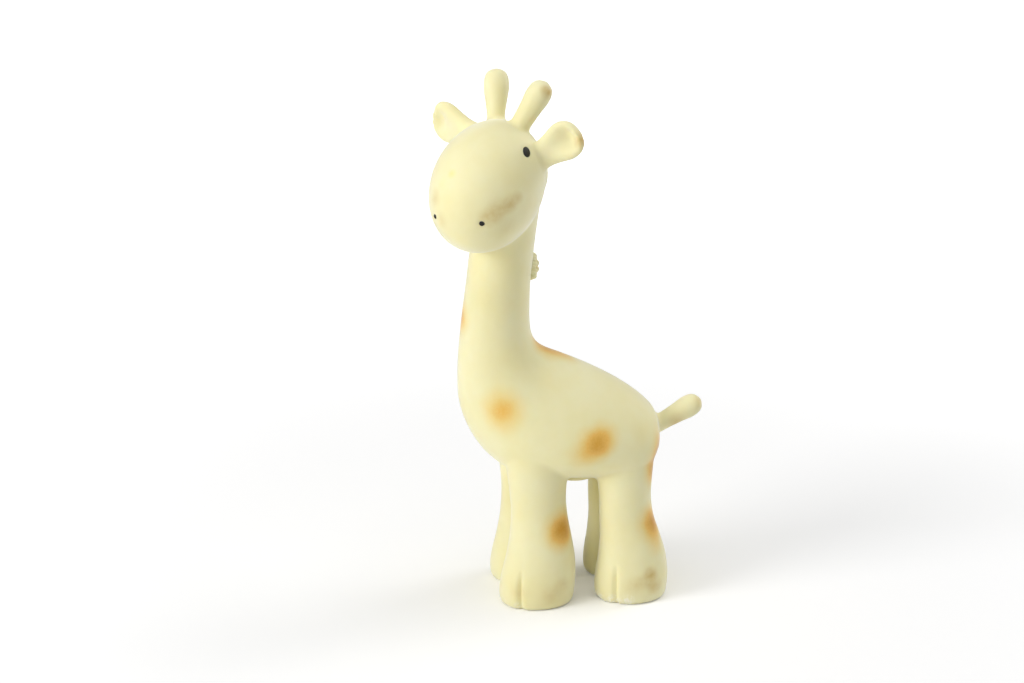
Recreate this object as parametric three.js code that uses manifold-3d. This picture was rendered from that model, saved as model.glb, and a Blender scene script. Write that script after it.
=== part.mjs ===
// A hollow natural-rubber bath toy: a standing giraffe with its head turned to its left.
// Millimetres, +Z up. The giraffe faces -Y, its left side is +X, and its soles stand on z = 0.

import * as THREE from "three";
import { mergeVertices } from "three/addons/utils/BufferGeometryUtils.js";
import Module from "manifold-3d";

const wasm = await Module();
wasm.setup();

// The rubber skin
const WALL = 2.4;

// Facets: how many lie round each shape, and how many rows follow its length. The hollow inside
// isn't seen and takes fewer.
const BODY_FACETS = [30, 32];
const BODY_HOLLOW_FACETS = [16, 16];
const LEG_FACETS = [18, 14];
const LEG_HOLLOW_FACETS = [10, 8];
const EGG_FACETS = [26, 16];
const EGG_HOLLOW_FACETS = [16, 10];
const CRANIUM_FACETS = [20, 12];
const CRANIUM_HOLLOW_FACETS = [12, 8];
const CLUB_FACETS = [12, 9];
const EAR_FACETS = [16, 10];
const LOCK_FACETS = [10, 6];
const DOT_FACETS = [12, 6];
const PLUG_FACETS = 28;
const CAPSULE_FACETS = [24, 7];
const BEAD_FACETS = [12, 8];

// How high the belly is over the floor. Longer or shorter legs carry all above them with them:
// the heights of the torso, neck, head, tail, tuft and plug count from the belly.
const BELLY_Z = 36.0;

// Torso and neck, from the rump to the top of the neck. Each row is one section, which spans
// the body from its under line to its over line: y and z of both, half width, and how far
// the widest part leans to the under side.
const RUMP = [31.7, 13.0];
const BODY_SECTIONS = [
  [30.4, 6.4, 31.4, 17.2, 8.0, 0.0],
  [27.3, 2.6, 29.9, 20.7, 13.0, 0.05],
  [22.6, 0.4, 25.3, 25.2, 16.4, 0.1],
  [14.0, 0.4, 18.4, 30.1, 18.2, 0.15],
  [4.0, 0.8, 10.2, 34.7, 18.8, 0.2],
  [-5.5, 1.5, 3.0, 38.1, 18.0, 0.22],
  [-13.4, 3.9, -2.6, 40.6, 16.4, 0.22],
  [-20.0, 8.9, -5.4, 43.0, 14.4, 0.15],
  [-24.8, 15.8, -6.7, 46.2, 12.5, 0.08],
  [-27.8, 24.0, -7.1, 50.0, 11.0, 0.0],
  [-28.4, 32.5, -7.1, 54.0, 10.2, 0.0],
  [-28.0, 41.0, -7.0, 58.5, 9.8, 0.0],
  [-27.0, 51.0, -6.7, 63.5, 9.6, 0.0],
  [-25.6, 62.0, -6.0, 70.0, 9.6, 0.0],
  [-24.4, 71.5, -4.9, 79.0, 10.0, 0.0],
  [-22.2, 80.0, -2.8, 86.5, 10.6, 0.0],
];
const NECK_TOP = [-14.0, 95.0];

// Legs: where the feet stand, their half length and the radius of the shanks, and the rows of
// one leg: height, share of the foot's swell over the shank, share of the lean, of the tuck
// under the belly and of the calf, which sets the leg back. The foot's heights count from the
// floor, and the shank's from the belly.
const LEG_X = 9.7;
const LEGS = {
  front: { footY: -6.2, foot: 11.3, shank: 8.3, lean: -0.2, tuck: 1.8, calf: 1.0 },
  rear: { footY: 22.3, foot: 11.0, shank: 7.8, lean: 2.1, tuck: 4.0, calf: 0.6 },
};
const LEG_WIDTH_SHARE = 0.8;
const FOOT_ROWS = [
  [0.0, 0.55, 0.0, 0.0, 0.0],
  [0.9, 0.84, 0.0, 0.0, 0.0],
  [3.5, 1.0, 0.0, 0.0, 0.0],
  [8.0, 0.98, 0.0, 0.0, 0.4],
  [14.0, 0.72, 0.15, 0.0, 1.0],
];
const SHANK_ROWS = [
  [-16.0, 0.38, 0.5, 0.0, 1.0],
  [-10.0, 0.1, 0.9, 0.0, 0.6],
  [-4.0, 0.0, 1.0, 0.02, 0.2],
  [2.0, 0.14, 1.0, 0.15, 0.0],
  [8.0, 0.34, 1.0, 0.42, 0.0],
  [14.0, 0.2, 1.0, 0.75, 0.0],
  [20.0, -0.9, 1.0, 1.0, 0.0],
];
const LEG_TOP = 22.0;

// Toes: two grooves on every foot
const TOE_GROOVE_ANGLE = 56;
const TOE_GROOVE_DEPTH = 0.9;
const TOE_GROOVE_WIDTH = 9;
const TOE_GROOVE_TOP = 13.0;
const TOE_GROOVE_LOW = 0.6;
const TOE_GROOVE_CLEAR = 1.4;

// Head: its centre, how far it turns to its left, and the egg, which points down and forward.
// The egg, with the face on it, is turned a little further than the skull.
const HEAD_CENTRE = [4.8, -20.0, 91.5];
const HEAD_TURN = 43;
const FACE_TURN = 9.4;
const HEAD_PITCH = 36;
const HEAD_HALF = { width: 15.9, length: 20.9, height: 16.6 };
const CRANIUM_RADIUS = 13.7;
const CRANIUM_BACK = 6.3;
const CRANIUM_UP = 2.6;

// Horns and tail: root, tip and radii, in the turned head for the horns. Both are clubs, whose
// rows give the place along the length and the shares of the root's and of the head's radius.
const HORNS = {
  left: { root: [2.8, 8.2, 13.0], tip: [9.4, 15.8, 29.1], rootRadius: 2.9, radius: 3.75 },
  right: { root: [4.2, 8.8, 13.0], tip: [9.8, 16.2, 30.1], rootRadius: 2.6, radius: 3.8 },
};
const TAIL = { root: [0, 29.5, 13.3], tip: [0, 45.1, 21.9], rootRadius: 2.6, radius: 3.4 };
const CLUB_ROWS = [
  [0.0, 1.0, 0.0],
  [0.3, 1.05, 0.0],
  [0.55, 0.0, 0.9],
  [0.73, 0.0, 1.0],
  [0.91, 0.0, 0.8],
  [1.0, 0.0, 0.0],
];

// Ears: root, tip, half width and half thickness in the turned head, and the way that the cups
// face. Rows: place along the ear, shares of the width and of the thickness, depth of the cup.
// The right ear is a little broader than the left one.
const EARS = {
  left: { root: [10.5, 6.8, 7.7], tip: [26.3, 8.6, 18.3], width: 6.1, thickness: 2.7 },
  right: { root: [10.5, 6.6, 11.0], tip: [26.8, 8.8, 15.0], width: 7.1, thickness: 2.7 },
};
const EAR_FACING = [0, -1, -0.25];
const EAR_CUP = 1.25;
const EAR_ROWS = [
  [0.0, 0.76, 1.0, 0.0],
  [0.25, 0.72, 1.0, 0.2],
  [0.45, 0.83, 1.05, 0.8],
  [0.66, 1.0, 1.1, 1.0],
  [0.83, 0.9, 1.0, 0.9],
  [0.94, 0.61, 0.8, 0.4],
  [0.99, 0.28, 0.45, 0.0],
];

// Mane tuft: the lobes on the back of the neck
const TUFT_LOBES = 4;
const TUFT_Z = 65.6;
const TUFT_Y = -6.6;
const TUFT_HEIGHT = 7.3;
const TUFT_PROUD = 2.5;
const TUFT_HALF_WIDTH = 2.6;
const LOCK_OVERLAP = 1.44;

// Painted eyes and nostrils: place in the turned face, half sizes of the black dots and how far
// the tops of the ovals lean back
const EYE = { place: [12.3, 1.1, 11.4], halfWidth: 1.45, halfHeight: 1.95, halfDepth: 0.7, lean: 54 };
const NOSTRIL = { place: [7.7, -16.8, -6.0], halfWidth: 0.85, halfHeight: 1.0, halfDepth: 0.6, lean: 30 };
const PAINT_PROUD = 0.25;
const PAINT_GAP = 0.12;

// Pour hole in the belly and the rubber plug that closes it
const PLUG_Y = 6.5;
const PLUG_SHANK_RADIUS = 4.6;
const PLUG_DISC_RADIUS = 6.2;
const PLUG_DISC_THICKNESS = 1.2;
const PLUG_LIP_RADIUS = 5.8;
const PLUG_LIP_THICKNESS = 1.2;
const PLUG_SEAT_THICKNESS = 2.6;
const PLUG_PAD_RADIUS = 8.0;
const PLUG_PAD_HEIGHT = 1.9;
const PLUG_RECESS_Z = BELLY_Z + 0.1;
const PLUG_GAP = 0.15;

// Rattle: a ball-shaped capsule in two halves, with steel beads
const CAPSULE_RADIUS = 9.0;
const CAPSULE_WALL = 1.2;
const CAPSULE_LIP_HEIGHT = 1.4;
const CAPSULE_FIT = 0.1;
const CAPSULE_REST_GAP = 0.3;
const BEAD_COUNT = 5;
const BEAD_RADIUS = 1.25;
const BEAD_GAP = 0.3;

const radians = THREE.MathUtils.degToRad;

// Merges a geometry's shared points, drops faces without area and turns its faces outwards.
function closedBody(source) {
  const plain = source.clone();
  for (const name of Object.keys(plain.attributes)) {
    if (name !== "position") plain.deleteAttribute(name);
  }
  const merged = mergeVertices(plain, 1e-5);
  const position = merged.attributes.position;
  const corner = (i) => new THREE.Vector3().fromBufferAttribute(position, i);
  const kept = [];
  let volume = 0;
  for (let i = 0; i < merged.index.count; i += 3) {
    const [a, b, c] = [0, 1, 2].map((step) => merged.index.getX(i + step));
    if (a === b || b === c || c === a) continue;
    kept.push([a, b, c]);
    volume += corner(a).dot(corner(b).cross(corner(c)));
  }
  merged.setIndex(kept.flatMap(([a, b, c]) => (volume > 0 ? [a, b, c] : [a, c, b])));
  return merged;
}

// Turns a geometry into a solid that can be joined and cut, and back again.
function solid(geometry) {
  const body = closedBody(geometry);
  return new wasm.Manifold(new wasm.Mesh({
    numProp: 3,
    vertProperties: new Float32Array(body.attributes.position.array),
    triVerts: new Uint32Array(body.index.array),
  }));
}

function geometryOf(body) {
  const mesh = body.getMesh();
  const geometry = new THREE.BufferGeometry();
  geometry.setAttribute("position", new THREE.BufferAttribute(new Float32Array(mesh.vertProperties), 3));
  geometry.setIndex(Array.from(mesh.triVerts));
  return geometry;
}

const joined = (geometries) => geometries.map(solid).reduce((whole, piece) => whole.add(piece));

// Reads rows of numbers as one smooth curve and samples it evenly.
function smoothRows(rows, count) {
  const places = rows.map((row, i) => i);
  const curve = new THREE.CubicInterpolant(places, rows.flat(), rows[0].length, []);
  const last = rows.length - 1;
  return Array.from({ length: count }, (unused, i) => [...curve.evaluate((last * i) / (count - 1))]);
}

// Closes a stack of rings with a point at each end.
function skin(rings, low, high) {
  const around = rings[0].length;
  const points = [low, ...rings.flat(), high];
  const at = (ring, i) => 1 + ring * around + (i % around);
  const index = [];
  for (let i = 0; i < around; i++) {
    index.push(0, at(0, i + 1), at(0, i));
    for (let ring = 0; ring + 1 < rings.length; ring++) {
      const [a, b, c, d] = [at(ring, i), at(ring, i + 1), at(ring + 1, i + 1), at(ring + 1, i)];
      index.push(a, b, c, a, c, d);
    }
    index.push(points.length - 1, at(rings.length - 1, i), at(rings.length - 1, i + 1));
  }
  const geometry = new THREE.BufferGeometry().setFromPoints(points);
  geometry.setIndex(index);
  return geometry;
}

// Moves every point of a closed skin inwards by the wall, which leaves the hollow.
function hollowOf(geometry, wall) {
  const inner = closedBody(geometry);
  inner.computeVertexNormals();
  const { position, normal } = inner.attributes;
  for (let i = 0; i < position.count; i++) {
    const point = new THREE.Vector3().fromBufferAttribute(position, i);
    const out = new THREE.Vector3().fromBufferAttribute(normal, i);
    point.addScaledVector(out, -wall);
    position.setXYZ(i, point.x, point.y, point.z);
  }
  return inner;
}

// Torso and neck: a loft through the body sections
function bodyLoft([around, count]) {
  const rings = smoothRows(BODY_SECTIONS, count).map(([underY, underZ, overY, overZ, half, lean]) =>
    Array.from({ length: around }, (unused, i) => {
      const angle = (2 * Math.PI * i) / around;
      const share = (1 + Math.cos(angle)) / 2;
      return new THREE.Vector3(
        half * Math.sin(angle) * (1 - lean * Math.cos(angle)),
        THREE.MathUtils.lerp(underY, overY, share),
        THREE.MathUtils.lerp(underZ, overZ, share),
      );
    }));
  const body = skin(rings, new THREE.Vector3(0, ...RUMP), new THREE.Vector3(0, ...NECK_TOP));
  return body.translate(0, 0, BELLY_Z);
}

// The places round a leg, from its back, as angle and share of the toe groove's depth. Each
// groove takes three places of its own instead of the even ones near it.
function legPlaces(around, grooved) {
  const turns = Array.from({ length: around }, (unused, i) => (360 * (i + 0.5)) / around);
  const grooves = grooved ? [180 - TOE_GROOVE_ANGLE, 180 + TOE_GROOVE_ANGLE] : [];
  const half = TOE_GROOVE_WIDTH / 2;
  const even = turns.filter((turn) => grooves.every((g) => Math.abs(turn - g) > TOE_GROOVE_CLEAR * half));
  const places = even.map((turn) => [turn, 0]);
  for (const g of grooves) places.push([g - half, 0], [g, 1], [g + half, 0]);
  return places.sort((a, b) => a[0] - b[0]);
}

// How deep a toe groove is at a height: full over its lower half, then fading out
function grooveDepth(z) {
  if (z < TOE_GROOVE_LOW || z > TOE_GROOVE_TOP) return 0;
  const rise = Math.min(1, (2 * (TOE_GROOVE_TOP - z)) / TOE_GROOVE_TOP);
  return TOE_GROOVE_DEPTH * Math.sin((Math.PI / 2) * rise);
}

// One leg: rings up the shank, with the toe grooves pressed into the foot
function legLoft(side, { footY, foot, shank, lean, tuck, calf }, [around, count], grooved) {
  const places = legPlaces(around, grooved);
  const rows = [...FOOT_ROWS, ...SHANK_ROWS.map(([z, ...shares]) => [BELLY_Z + z, ...shares])];
  const rings = smoothRows(rows, count).map(([z, swell, leanShare, tuckShare, calfShare]) =>
    places.map(([turn, groove]) => {
      const reach = THREE.MathUtils.lerp(shank, foot, swell) - groove * grooveDepth(z);
      return new THREE.Vector3(
        side * (LEG_X - tuck * tuckShare) - reach * LEG_WIDTH_SHARE * Math.sin(radians(turn)),
        footY - lean * leanShare + calf * calfShare + reach * Math.cos(radians(turn)),
        z,
      );
    }));
  const low = new THREE.Vector3(side * LEG_X, footY, 0);
  const high = new THREE.Vector3(side * (LEG_X - tuck), footY - lean, BELLY_Z + LEG_TOP);
  return skin(rings, low, high);
}

// The frame of what counts from the belly, the turned head's own frame, and the face's, which is
// turned a little further
const bellyFrame = new THREE.Matrix4().makeTranslation(0, 0, BELLY_Z);
const turnedHead = new THREE.Matrix4().makeRotationZ(radians(HEAD_TURN)).setPosition(...HEAD_CENTRE);
const headFrame = bellyFrame.clone().multiply(turnedHead);
const faceFrame = headFrame.clone().multiply(new THREE.Matrix4().makeRotationZ(radians(FACE_TURN)));

function headEgg([around, count]) {
  const egg = new THREE.SphereGeometry(1, around, count);
  egg.scale(HEAD_HALF.width, HEAD_HALF.length, HEAD_HALF.height);
  egg.rotateX(radians(HEAD_PITCH));
  return egg.applyMatrix4(faceFrame);
}

function cranium([around, count]) {
  const ball = new THREE.SphereGeometry(CRANIUM_RADIUS, around, count);
  ball.translate(0, CRANIUM_BACK, CRANIUM_UP);
  return ball.applyMatrix4(headFrame);
}

// A horn or tail: a club on a pinched root, turned about its own axis
function club({ root, tip, rootRadius, radius }, side, frame) {
  const start = new THREE.Vector3(side * root[0], root[1], root[2]);
  const end = new THREE.Vector3(side * tip[0], tip[1], tip[2]);
  const length = start.distanceTo(end);
  const outline = new THREE.SplineCurve(CLUB_ROWS.map(([place, rootShare, headShare]) =>
    new THREE.Vector2(rootShare * rootRadius + headShare * radius, place * length)));
  const [around, count] = CLUB_FACETS;
  const profile = [new THREE.Vector2(0, 0), ...outline.getPoints(count)];
  profile[profile.length - 1].x = 0;
  const geometry = new THREE.LatheGeometry(profile, around);
  const upright = new THREE.Vector3(0, 1, 0);
  const along = end.sub(start).normalize();
  geometry.applyQuaternion(new THREE.Quaternion().setFromUnitVectors(upright, along));
  geometry.translate(start.x, start.y, start.z);
  return geometry.applyMatrix4(frame);
}

// An ear: a spoon with a pinched root and a cup in its front face
function earLoft(side) {
  const { root, tip, width, thickness } = side > 0 ? EARS.left : EARS.right;
  const start = new THREE.Vector3(side * root[0], root[1], root[2]);
  const end = new THREE.Vector3(side * tip[0], tip[1], tip[2]);
  const along = end.clone().sub(start);
  const axis = along.clone().normalize();
  const forward = new THREE.Vector3(...EAR_FACING);
  forward.addScaledVector(axis, -forward.dot(axis)).normalize();
  const across = new THREE.Vector3().crossVectors(axis, forward);
  const [around, count] = EAR_FACETS;
  const rings = smoothRows(EAR_ROWS, count).map(([place, widthShare, thicknessShare, cup]) =>
    Array.from({ length: around }, (unused, i) => {
      const angle = (2 * Math.PI * i) / around;
      const front = Math.max(0, Math.sin(angle));
      const out = thicknessShare * thickness * Math.sin(angle) * (1 - EAR_CUP * cup * front ** 2);
      return start.clone()
        .addScaledVector(along, place)
        .addScaledVector(across, widthShare * width * Math.cos(angle))
        .addScaledVector(forward, out);
    }));
  return skin(rings, start, end).applyMatrix4(headFrame);
}

// The mane tuft: a row of rounded locks, the outer ones smaller
function tuft() {
  const pitch = TUFT_HEIGHT / TUFT_LOBES;
  return Array.from({ length: TUFT_LOBES }, (unused, i) => {
    const high = i - (TUFT_LOBES - 1) / 2;
    const bulge = Math.cos(high / TUFT_LOBES);
    const lock = new THREE.SphereGeometry(1, ...LOCK_FACETS);
    lock.scale(TUFT_HALF_WIDTH * bulge, TUFT_PROUD * bulge, (LOCK_OVERLAP * pitch) / 2);
    lock.translate(0, TUFT_Y, BELLY_Z + TUFT_Z + high * pitch);
    return lock;
  });
}

// Where a dot lies: on the egg's surface below its place, upright and facing outwards
function dotFrame(place, side) {
  const point = new THREE.Vector3(side * place[0], place[1], place[2]);
  const pitch = new THREE.Matrix4().makeRotationX(radians(HEAD_PITCH));
  const inEgg = point.clone().applyMatrix4(pitch.clone().invert());
  const squares = new THREE.Vector3(HEAD_HALF.width ** 2, HEAD_HALF.length ** 2, HEAD_HALF.height ** 2);
  const reach = Math.sqrt(inEgg.clone().multiply(inEgg).divide(squares).dot(new THREE.Vector3(1, 1, 1)));
  const onSurface = inEgg.divideScalar(reach);
  const normal = onSurface.clone().divide(squares).normalize();
  onSurface.applyMatrix4(pitch);
  normal.applyMatrix4(pitch);
  const across = new THREE.Vector3(0, 0, 1).cross(normal).normalize();
  const up = normal.clone().cross(across);
  return new THREE.Matrix4().makeBasis(across, up, normal).setPosition(onSurface);
}

// A black dot on the head and, with a gap round it, the socket that it lies in
function dot({ place, halfWidth, halfHeight, halfDepth, lean }, side, gap) {
  const ball = new THREE.SphereGeometry(1, ...DOT_FACETS);
  ball.scale(halfWidth + gap, halfHeight + gap, halfDepth + gap);
  ball.rotateZ(-side * radians(lean));
  ball.translate(0, 0, PAINT_PROUD - halfDepth);
  return ball.applyMatrix4(dotFrame(place, side)).applyMatrix4(faceFrame);
}

// Something turned about an upright axis, from its profile of radius and height
function turned(profile, segments) {
  const geometry = new THREE.LatheGeometry(profile.map(([r, z]) => new THREE.Vector2(r, z)), segments);
  return geometry.rotateX(Math.PI / 2);
}

const seatLow = PLUG_RECESS_Z + PLUG_DISC_THICKNESS;
const seatTop = seatLow + PLUG_SEAT_THICKNESS;

function plug() {
  const profile = [
    [0, PLUG_RECESS_Z],
    [PLUG_DISC_RADIUS, PLUG_RECESS_Z],
    [PLUG_DISC_RADIUS, seatLow],
    [PLUG_SHANK_RADIUS, seatLow],
    [PLUG_SHANK_RADIUS, seatTop],
    [PLUG_LIP_RADIUS, seatTop],
    [PLUG_SHANK_RADIUS, seatTop + PLUG_LIP_THICKNESS],
    [0, seatTop + PLUG_LIP_THICKNESS],
  ];
  return turned(profile, PLUG_FACETS).translate(0, PLUG_Y, 0);
}

// A round of material at the plug's place, to add as a pad or to cut away as a hole
const disc = (radius, low, high) =>
  solid(turned([[0, low], [radius, low], [radius, high], [0, high]], PLUG_FACETS).translate(0, PLUG_Y, 0));

// The whole skin in one piece: outside less hollow, with the plug's seat and the dots' sockets
function bodyMoulding() {
  const outer = [
    bodyLoft(BODY_FACETS), headEgg(EGG_FACETS), cranium(CRANIUM_FACETS),
    club(TAIL, 1, bellyFrame), ...tuft(),
  ];
  const hollows = [
    bodyLoft(BODY_HOLLOW_FACETS), headEgg(EGG_HOLLOW_FACETS), cranium(CRANIUM_HOLLOW_FACETS),
  ];
  for (const side of [1, -1]) {
    outer.push(club(side > 0 ? HORNS.left : HORNS.right, side, headFrame), earLoft(side));
    for (const leg of Object.values(LEGS)) {
      outer.push(legLoft(side, leg, LEG_FACETS, true));
      hollows.push(legLoft(side, leg, LEG_HOLLOW_FACETS, false));
    }
  }
  const inside = joined(hollows.map((geometry) => hollowOf(geometry, WALL)));
  const below = PLUG_RECESS_Z - PLUG_DISC_THICKNESS;
  const cuts = [
    disc(PLUG_SHANK_RADIUS + PLUG_GAP, below, seatTop + WALL),
    disc(PLUG_DISC_RADIUS + PLUG_GAP, below, seatLow),
    disc(PLUG_LIP_RADIUS + PLUG_GAP, seatTop, seatTop + 2 * PLUG_LIP_THICKNESS),
  ];
  for (const side of [1, -1]) {
    for (const mark of [EYE, NOSTRIL]) cuts.push(solid(dot(mark, side, PAINT_GAP)));
  }
  const skinned = joined(outer).subtract(inside);
  const padded = skinned.add(disc(PLUG_PAD_RADIUS, seatTop - PLUG_PAD_HEIGHT, seatTop));
  return geometryOf(cuts.reduce((moulding, cut) => moulding.subtract(cut), padded));
}

// The rattle's two halves meet at its middle, where a lip on the lower one stands in the upper one
const capsuleCentre = [0, PLUG_Y, seatTop + PLUG_LIP_THICKNESS + CAPSULE_REST_GAP + CAPSULE_RADIUS];
const capsuleInner = CAPSULE_RADIUS - CAPSULE_WALL;
const lipRadius = CAPSULE_RADIUS - CAPSULE_WALL / 2;

// Points along part of a ball's outline
function arc(radius, from, to) {
  const [, steps] = CAPSULE_FACETS;
  return Array.from({ length: steps + 1 }, (unused, i) => {
    const angle = radians(from + ((to - from) * i) / steps);
    return [radius * Math.cos(angle), radius * Math.sin(angle)];
  });
}

// One half of the ball from its profile, whose first and last points lie on the axis
function capsuleHalf(profile) {
  profile[0][0] = 0;
  profile[profile.length - 1][0] = 0;
  return turned(profile, CAPSULE_FACETS[0]).translate(...capsuleCentre);
}

function capsuleLower() {
  const profile = [
    ...arc(CAPSULE_RADIUS, -90, 0),
    [lipRadius, 0],
    [lipRadius, CAPSULE_LIP_HEIGHT],
    [capsuleInner, CAPSULE_LIP_HEIGHT],
    ...arc(capsuleInner, 0, -90),
  ];
  return capsuleHalf(profile);
}

function capsuleUpper() {
  const lipTop = CAPSULE_LIP_HEIGHT + CAPSULE_FIT;
  const innerAngle = THREE.MathUtils.radToDeg(Math.asin(lipTop / capsuleInner));
  const profile = [
    ...arc(CAPSULE_RADIUS, 90, 0),
    [lipRadius + CAPSULE_FIT, 0],
    [lipRadius + CAPSULE_FIT, lipTop],
    ...arc(capsuleInner, innerAngle, 90),
  ];
  return capsuleHalf(profile);
}

// Beads lie side by side along the capsule's floor, each in its own lane, with a gap between
function bead(i) {
  const reach = capsuleInner - BEAD_RADIUS - BEAD_GAP;
  const laneStep = 2 * Math.asin((BEAD_RADIUS + BEAD_GAP / 2) / reach);
  const lane = laneStep * (i - (BEAD_COUNT - 1) / 2);
  const ball = new THREE.SphereGeometry(BEAD_RADIUS, ...BEAD_FACETS);
  ball.translate(reach * Math.sin(lane), 0, -reach * Math.cos(lane));
  return ball.translate(...capsuleCentre);
}

const latex = (color) => new THREE.MeshStandardMaterial({ color, roughness: 0.55, metalness: 0 });
const blackPaint = () => new THREE.MeshStandardMaterial({ color: 0x1d1f1c, roughness: 0.3, metalness: 0 });
const plastic = () => new THREE.MeshStandardMaterial({ color: 0xe9e6dc, roughness: 0.4, metalness: 0 });
const steel = () => new THREE.MeshStandardMaterial({ color: 0xb9bcc0, roughness: 0.25, metalness: 1 });

const toy = new THREE.Group();

function addPiece(name, geometry, material) {
  const mesh = new THREE.Mesh(closedBody(geometry), material);
  mesh.name = name;
  toy.add(mesh);
}

addPiece("body_moulding", bodyMoulding(), latex(0xe6e1b4));
addPiece("belly_plug", plug(), latex(0xdcd5a4));
addPiece("rattle_capsule_lower", capsuleLower(), plastic());
addPiece("rattle_capsule_upper", capsuleUpper(), plastic());
for (let i = 0; i < BEAD_COUNT; i++) addPiece(`rattle_bead_${i + 1}`, bead(i), steel());
for (const [word, side] of [["left", 1], ["right", -1]]) {
  addPiece(`eye_${word}`, dot(EYE, side, 0), blackPaint());
  addPiece(`nostril_${word}`, dot(NOSTRIL, side, 0), blackPaint());
}

// The origin lies under the middle of the whole toy, on the plane of its soles.
const box = new THREE.Box3().setFromObject(toy, true);
toy.position.set(-(box.min.x + box.max.x) / 2, -(box.min.y + box.max.y) / 2, 0);

export default toy;
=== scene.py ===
# %% [markdown]
# This lesson dresses the CAD model of a bath toy: a giraffe of natural rubber, 157 mm tall, with
# its head turned to its left. The CAD holds the real sizes and the joints. Here the same forms
# become one soft skin, with the finish of latex, airbrushed spots and the marks of use. The packed
# frame comes first, because every piece has to lie where the CAD has it.

# %% Load the frame
import math

import bmesh
import bpy
import numpy as np
from mathutils import Matrix, Vector, noise


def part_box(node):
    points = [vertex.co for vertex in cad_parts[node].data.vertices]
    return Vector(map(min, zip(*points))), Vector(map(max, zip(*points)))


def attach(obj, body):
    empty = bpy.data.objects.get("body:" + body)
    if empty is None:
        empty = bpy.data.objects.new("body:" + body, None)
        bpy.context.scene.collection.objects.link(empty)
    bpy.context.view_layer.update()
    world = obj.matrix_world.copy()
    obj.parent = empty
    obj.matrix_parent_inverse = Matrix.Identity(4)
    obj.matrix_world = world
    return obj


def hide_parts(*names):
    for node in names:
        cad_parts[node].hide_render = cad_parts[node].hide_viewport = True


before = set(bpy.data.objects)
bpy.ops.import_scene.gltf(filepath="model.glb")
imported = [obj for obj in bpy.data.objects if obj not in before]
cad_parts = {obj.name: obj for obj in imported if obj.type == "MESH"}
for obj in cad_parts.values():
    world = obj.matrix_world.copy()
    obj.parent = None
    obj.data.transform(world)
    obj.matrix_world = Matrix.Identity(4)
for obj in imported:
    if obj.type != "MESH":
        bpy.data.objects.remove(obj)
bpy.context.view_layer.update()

# %% [markdown]
# The toy is modelled in millimetres about the mould's own zero: x = 0 is the body's middle plane,
# -y is the way it faces, and the soles stand on z = 0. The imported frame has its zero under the
# middle of the whole box, a little to one side. The plug in the belly lies on the middle plane,
# so its box in the frame says how far the two zeros are apart.

# %% From the mould's millimetres to the frame's metres
MM = 0.001
PLUG_Y = 6.5


def frame_shift():
    """How far the mould's zero lies from the frame's, in metres, from the plug's packed box."""
    low, high = (Vector(corner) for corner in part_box("belly_plug"))
    middle = (low + high) / 2
    return Vector((middle.x, middle.y - PLUG_Y * MM, 0))


SHIFT = frame_shift()
TO_FRAME = Matrix.Translation(SHIFT) @ Matrix.Diagonal((MM, MM, MM, 1))
print("mould zero in the frame, mm:", [round(value / MM, 3) for value in SHIFT])

# %% [markdown]
# Forms are built with bmesh. Small helpers turn a finished form into mesh data, put data into the
# scene as an object, and read what an object's modifiers make of it.

# %% Meshes and objects
def finished_mesh(bm, name):
    """Turns a bmesh into mesh data and frees it."""
    mesh = bpy.data.meshes.new(name)
    bm.to_mesh(mesh)
    bm.free()
    return mesh


def in_scene(name, data):
    """Links a new object that holds the data into the scene."""
    item = bpy.data.objects.new(name, data)
    bpy.context.scene.collection.objects.link(item)
    return item


def modified_mesh(item):
    """The mesh that an object's modifiers make."""
    depsgraph = bpy.context.evaluated_depsgraph_get()
    return bpy.data.meshes.new_from_object(item.evaluated_get(depsgraph))


# %% [markdown]
# Torso and neck are one swelling tube. A lofted tube is the natural way to draw it: each row of the
# table is one section, with the height and place of its under and over line, its half width, and
# how far the widest part sinks towards the belly. A smooth curve through the rows fills in the
# sections between, and bridged rings make the surface.

# %% Smooth tables and lofted tubes
RING_POINTS = 48


def smooth_rows(rows, count):
    """Reads a table's rows as one smooth curve and samples it evenly from end to end."""
    table = np.array(rows, float)
    slopes = np.gradient(table, axis=0)
    places = np.linspace(0, len(table) - 1, count)
    low = np.minimum(places.astype(int), len(table) - 2)
    t = (places - low)[:, None]
    start = (2 * t**3 - 3 * t**2 + 1) * table[low] + (t**3 - 2 * t**2 + t) * slopes[low]
    end = (3 * t**2 - 2 * t**3) * table[low + 1] + (t**3 - t**2) * slopes[low + 1]
    return (start + end).tolist()


def ring(bm, place):
    """A circle whose points are moved to where place(angle) puts them; returns its edges."""
    verts = bmesh.ops.create_circle(bm, segments=RING_POINTS, radius=1)["verts"]
    for vert in verts:
        vert.co = place(math.atan2(vert.co.y, vert.co.x))
    return list({edge for vert in verts for edge in vert.link_edges})


def loft(bm, rings, low_tip, high_tip):
    """Bridges rings into a tube and draws its two ends together at their tips."""
    for lower, upper in zip(rings, rings[1:]):
        bmesh.ops.bridge_loops(bm, edges=lower + upper)
    for edges, tip in ((rings[0], low_tip), (rings[-1], high_tip)):
        made = bmesh.ops.extrude_edge_only(bm, edges=edges)["geom"]
        ends = [item for item in made if isinstance(item, bmesh.types.BMVert)]
        bmesh.ops.pointmerge(bm, verts=ends, merge_co=tip)


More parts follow.
